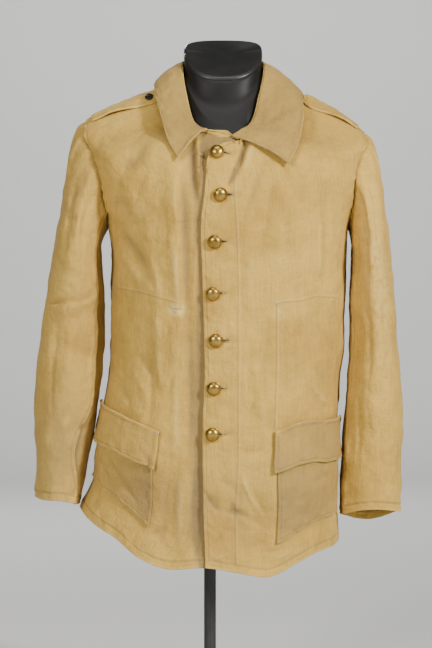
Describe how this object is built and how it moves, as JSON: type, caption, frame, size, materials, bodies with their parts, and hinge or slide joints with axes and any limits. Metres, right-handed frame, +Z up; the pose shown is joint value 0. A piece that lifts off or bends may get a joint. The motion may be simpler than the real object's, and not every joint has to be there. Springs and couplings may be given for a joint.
{
  "type": "military tunic on a limbless dress form and stand",
  "caption": "Cotton drill military tunic buttoned on a limbless black dress form with a pole and round base, its turn-down collar and sleeves hanging free.",
  "frame": {"origin": "centre of the round base plate's underside, on the pole's axis", "axes": "+Z up along the pole, -Y towards the front of the tunic, +X to the wearer's left"},
  "size_m": [0.5471, 0.3, 1.0558],
  "materials": {
    "drill": "worn khaki cotton drill, matt",
    "brass": "aged brass, dull",
    "dark_button": "dark, shiny",
    "form": "smooth glossy black",
    "steel": "satin black paint"
  },
  "bodies": {
    "root": {"front_left": "drill", "front_right": "drill", "back": "drill", "sleeve_left_top": "drill", "sleeve_left_under": "drill", "sleeve_right_top": "drill", "sleeve_right_under": "drill", "collar_stand": "drill", "collar_fall": "drill", "shoulder_strap_left": "drill", "shoulder_strap_right": "drill", "pocket_left": "drill", "pocket_right": "drill", "pocket_flap_left": "drill", "pocket_flap_right": "drill", "button_1": "brass", "button_2": "brass", "button_3": "brass", "button_4": "brass", "button_5": "brass", "button_6": "brass", "button_7": "brass", "strap_button_right": "dark_button", "form_torso": "form", "neck_cap": "form", "form_pole": "steel", "base_plate": "steel"}
  },
  "joints": []
}
